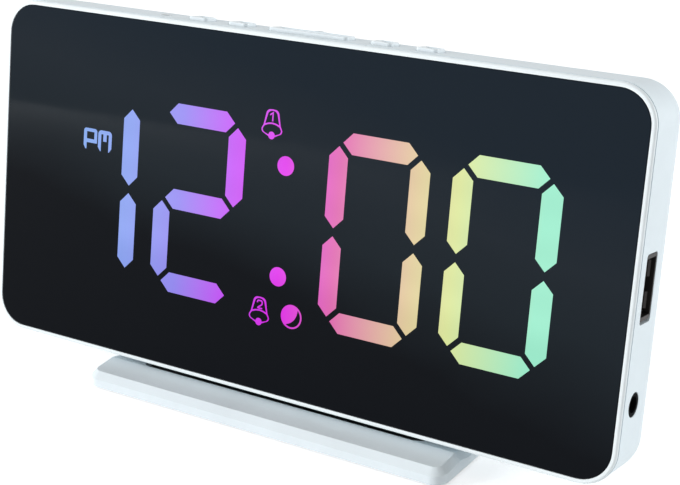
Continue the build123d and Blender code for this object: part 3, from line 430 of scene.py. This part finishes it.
def light_plate(name, outlines):
    """A thin plate in the shape of the outlines on the lens; an outline inside another is a hole."""
    curve = bpy.data.curves.new(name, "CURVE")
    curve.dimensions = "2D"
    curve.fill_mode = "BOTH"
    curve.extrude = light_thickness / mm / 2
    for outline in outlines:
        spline = curve.splines.new("POLY")
        spline.points.add(len(outline) - 1)
        for place, (x, y) in zip(spline.points, outline):
            place.co = (x, y, 0, 1)
        spline.use_cyclic_u = True
    holder = bpy.data.objects.new(name + "_outline", curve)
    mesh = bpy.data.meshes.new_from_object(holder)
    bpy.data.objects.remove(holder)
    bpy.data.curves.remove(curve)
    mesh.transform(panel_matrix(light_proud + light_thickness / 2))
    mesh.name = name
    mesh.materials.clear()
    mesh.materials.append(glow)
    plate = bpy.data.objects.new(name, mesh)
    bpy.context.scene.collection.objects.link(plate)
    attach(plate, "case")


def bar(x, y, half_length, upright=False):
    """One pointed bar of a digit, round its middle."""
    flat = half_length - bar_half_width
    corners = [
        (half_length, 0),
        (flat, bar_half_width),
        (-flat, bar_half_width),
        (-half_length, 0),
        (-flat, -bar_half_width),
        (flat, -bar_half_width),
    ]
    return [(x + b, y + a) if upright else (x + a, y + b) for a, b in corners]


def digit(x, letters):
    """The lit bars of a digit whose middle is at x, with the bars' usual letters."""
    wide, half = digit_half_width, digit_half_height / 2
    lying = wide - bar_gap
    standing = half - bar_gap
    bars = {
        "a": bar(x, 2 * half, lying),
        "b": bar(x + wide, half, standing, upright=True),
        "c": bar(x + wide, -half, standing, upright=True),
        "d": bar(x, -2 * half, lying),
        "e": bar(x - wide, -half, standing, upright=True),
        "f": bar(x - wide, half, standing, upright=True),
        "g": bar(x, 0, lying),
    }
    return [bars[letter] for letter in letters]


for number, (middle, letters) in enumerate(zip(digit_middles, shown), 1):
    light_plate(f"lit_digit_{number}", digit(middle, letters))
light_plate("lit_colon", [disc(0, height, dot_radius) for height in dot_heights])

# the small signs: two bells with their alarm's number, a moon and the afternoon's letters

bell_across = -4.52
bell_heights = (19.57, -25.08)
clapper_radius = 0.9
number_line = 0.34


def mirrored(half):
    """An outline from its right half, which runs from the top middle to the bottom middle."""
    return half + [(-x, y) for x, y in reversed(half) if abs(x) > 1e-6]


def bell(x, y):
    """The bell's outer outline and the holes that its body and its mouth leave, round its clapper."""
    corners = [(0, 6.2, 2.6), (1.64, 5.86, 1.2), (2.35, 2.4, 1.2), (3.18, 0.9, 0.9), (1.2, -0.22, 0.3)]
    shell = [(0, 6.1)] + rounded(corners, closed=False)[1:-1] + [(0.86, -0.27)]
    shell += arc(0, 0, clapper_radius, -20, -90)
    body = [(0, 5.76), (0.68, 5.63), (1.1, 5.33), (1.3, 5.02), (1.97, 2.6), (1.0, 2.9), (0, 3.02)]
    mouth = [(0, 2.68), (1.1, 2.52), (2.08, 2.12), (2.5, 1.5), (2.56, 1.18), (2.35, 0.72)]
    mouth += [(1.9, 0.46), (0.89, 0.12)] + arc(0, 0, clapper_radius, 10, 90)
    return [moved(mirrored(half), x, y) for half in (shell, body, mouth)]


def number_one(x, y):
    """The 1 in the first bell."""
    return [moved(stroke([(-0.72, 4.72), (0.06, 5.28), (0.06, 3.3)], number_line), x, y)]


def number_two(x, y):
    """The 2 in the second bell."""
    path = [(-0.66, 4.62, 0), (-0.6, 5.16, 0.5), (0.7, 5.16, 0.6)]
    path += [(0.7, 4.3, 0.5), (-0.66, 3.3, 0.1), (0.8, 3.3, 0)]
    return [moved(stroke(rounded(path, closed=False), number_line), x, y)]


for order, (height, number) in enumerate(zip(bell_heights, (number_one, number_two)), 1):
    light_plate(f"bell_sign_{order}", bell(bell_across, height) + number(bell_across, height))

moon_middle = (4.5, -22.03)
moon_radius = 2.88
moon_line = 0.4
moon_shade_start = 48
moon_shade_end = -125
moon_shade_bulge = 0.87


def bulged(start, end, sagitta):
    """Points between two ends along a bow that stands off its chord, on its left, by the sagitta."""
    start, end = Vector(start), Vector(end)
    chord = end - start
    square = Vector((-chord.y, chord.x)).normalized()
    steps = round(pi / arc_step)
    shares = [step / steps for step in range(1, steps)]
    return [tuple(start + chord * share + square * sagitta * 4 * share * (1 - share)) for share in shares]


shade_edge = arc(0, 0, moon_radius - moon_line, moon_shade_end, moon_shade_start)
shade = shade_edge + bulged(shade_edge[-1], shade_edge[0], moon_shade_bulge)
light_plate("moon_sign", [disc(*moon_middle, moon_radius), moved(shade, *moon_middle)])

letter_top = 13.36
letter_foot = 8.1
letter_stem = 0.95
letter_cut = 0.95
letter_p_left = -60.44
letter_m_left = -55.84


def letter_p(x):
    """The P, from its left edge."""
    wide, bowl = 4.24, 3.6
    outer = [
        (x, letter_foot + letter_cut, 0.3),
        (x, letter_top, 0.75),
        (x + wide, letter_top, 0.75),
        (x + wide, letter_top - bowl, 0.2),
        (x + letter_stem, letter_top - bowl, 0.1),
        (x + letter_stem, letter_foot, 0),
        (x + letter_stem - 0.35, letter_foot, 0.2),
    ]
    hole_top = letter_top - letter_stem + 0.1
    hole_foot = letter_top - bowl + letter_stem - 0.02
    hole_left, hole_right = x + letter_stem + 0.02, x + wide - letter_stem + 0.05
    hole = [(hole_left, hole_foot), (hole_left, hole_top), (hole_right, hole_top), (hole_right, hole_foot)]
    return [rounded(outer), hole]


def letter_m(x):
    """The M, from its left edge, with its short middle stroke."""
    wide, stub, half_stub = 4.3, 2.72, 0.52
    middle = x + wide / 2
    right = x + wide
    gap_top = letter_top - letter_stem
    outer = [
        (x, letter_foot + letter_cut, 0.3),
        (x, letter_top, 1.0),
        (right, letter_top, 1.0),
        (right, letter_foot + letter_cut, 0.3),
        (right - letter_stem + 0.2, letter_foot, 0.1),
        (right - letter_stem, letter_foot, 0),
        (right - letter_stem, gap_top, 0.1),
        (middle + half_stub, gap_top, 0.1),
        (middle + half_stub, letter_top - stub, 0.1),
        (middle - half_stub, letter_top - stub, 0.1),
        (middle - half_stub, gap_top, 0.1),
        (x + letter_stem, gap_top, 0.1),
        (x + letter_stem, letter_foot, 0),
        (x + letter_stem - 0.2, letter_foot, 0.1),
    ]
    return [rounded(outer)]


light_plate("afternoon_sign", letter_p(letter_p_left) + letter_m(letter_m_left))

# the floor: pale, seen white, with the clock's shadow kept

floor_lift = 0.52
floor_half = 3.0


def seen_white(tree):
    """A socket that is 1 for rays that show the background: to the camera, in gloss, through glass."""
    seen = tree.nodes.new("ShaderNodeLightPath")
    socket = seen.outputs["Is Camera Ray"]
    for ray in ("Is Glossy Ray", "Is Transmission Ray"):
        either = tree.nodes.new("ShaderNodeMath")
        either.operation = "MAXIMUM"
        tree.links.new(socket, either.inputs[0])
        tree.links.new(seen.outputs[ray], either.inputs[1])
        socket = either.outputs["Value"]
    return socket


def floor_finish():
    """A pale floor with a faint unevenness."""
    recipe = Recipe("floor")
    grain = recipe.noise(60 * mm)
    stops = ((noise_low, tone(238, 240, 241)), (noise_high, tone(242, 243, 244)))
    recipe.ramp(grain, "Fac", stops, recipe.shader, "Base Color")
    recipe.set(Roughness=0.8, Specular_IOR_Level=0.2)
    lift = recipe.add("ShaderNodeMath", operation="MULTIPLY")
    lift.inputs[1].default_value = floor_lift
    recipe.tree.links.new(seen_white(recipe.tree), lift.inputs[0])
    recipe.join(lift, "Value", recipe.shader, "Emission Strength")
    recipe.set(Emission_Color=(1, 1, 1, 1))
    return recipe.material


floor_mesh = bpy.data.meshes.new("floor")
shape = bmesh.new()
bmesh.ops.create_grid(shape, x_segments=8, y_segments=8, size=floor_half)
shape.to_mesh(floor_mesh)
shape.free()
floor_mesh.materials.append(floor_finish())
floor = bpy.data.objects.new("floor", floor_mesh)
bpy.context.scene.collection.objects.link(floor)
floor.location.z = cad_low.z

# world and lamps

world_light = 0.5
world_seen = 1.0
lamp_distance = 1.8
lamp_size = 0.9


def make_world():
    """An even white surround that shows as white and lights the clock more softly."""
    world = bpy.data.worlds.new("studio")
    world.use_nodes = True
    tree = world.node_tree
    tree.nodes.clear()
    output = tree.nodes.new("ShaderNodeOutputWorld")
    strength = tree.nodes.new("ShaderNodeMapRange")
    strength.inputs["To Min"].default_value = world_light
    strength.inputs["To Max"].default_value = world_seen
    background = tree.nodes.new("ShaderNodeBackground")
    background.inputs["Color"].default_value = (1, 1, 1, 1)
    tree.links.new(seen_white(tree), strength.inputs["Value"])
    tree.links.new(strength.outputs["Result"], background.inputs["Strength"])
    tree.links.new(background.outputs["Background"], output.inputs["Surface"])
    bpy.context.scene.world = world


make_world()


def softbox(name, turn, rise, power, mirrored_in_gloss=True):
    """A round area lamp aimed at the clock, turned right of its front and raised by those degrees."""
    lamp = bpy.data.lights.new(name, "AREA")
    lamp.shape = "DISK"
    lamp.size = lamp_size
    lamp.energy = power
    holder = bpy.data.objects.new(name, lamp)
    level = cos(radians(rise))
    towards = Vector((sin(radians(turn)) * level, -cos(radians(turn)) * level, sin(radians(rise))))
    holder.location = (cad_low + cad_high) / 2 + towards * lamp_distance
    holder.rotation_euler = (-towards).to_track_quat("-Z", "Y").to_euler()
    holder.visible_glossy = mirrored_in_gloss
    bpy.context.scene.collection.objects.link(holder)


softbox("left_softbox", turn=-50, rise=13, power=25.0, mirrored_in_gloss=False)
softbox("right_softbox", turn=127, rise=12, power=14.2)

# the camera, as the photograph was taken

camera_place = Vector((191.725, -296.672, 168.367)) * mm
camera_pitch = radians(19.183)
camera_turn = radians(31.906)
camera_lens = 82.49
film_width = 36
nearest_seen, farthest_seen = 0.01, 20
photo_width = 680
photo_shift = -24

camera = bpy.data.objects.new("camera", bpy.data.cameras.new("camera"))
camera.location = camera_place
camera.rotation_euler = (pi / 2 - camera_pitch, 0, camera_turn)
camera.data.lens = camera_lens
camera.data.sensor_width = film_width
camera.data.shift_y = photo_shift / photo_width
camera.data.clip_start = nearest_seen
camera.data.clip_end = farthest_seen
bpy.context.scene.collection.objects.link(camera)
bpy.context.scene.camera = camera

bpy.context.scene.view_settings.view_transform = "Standard"
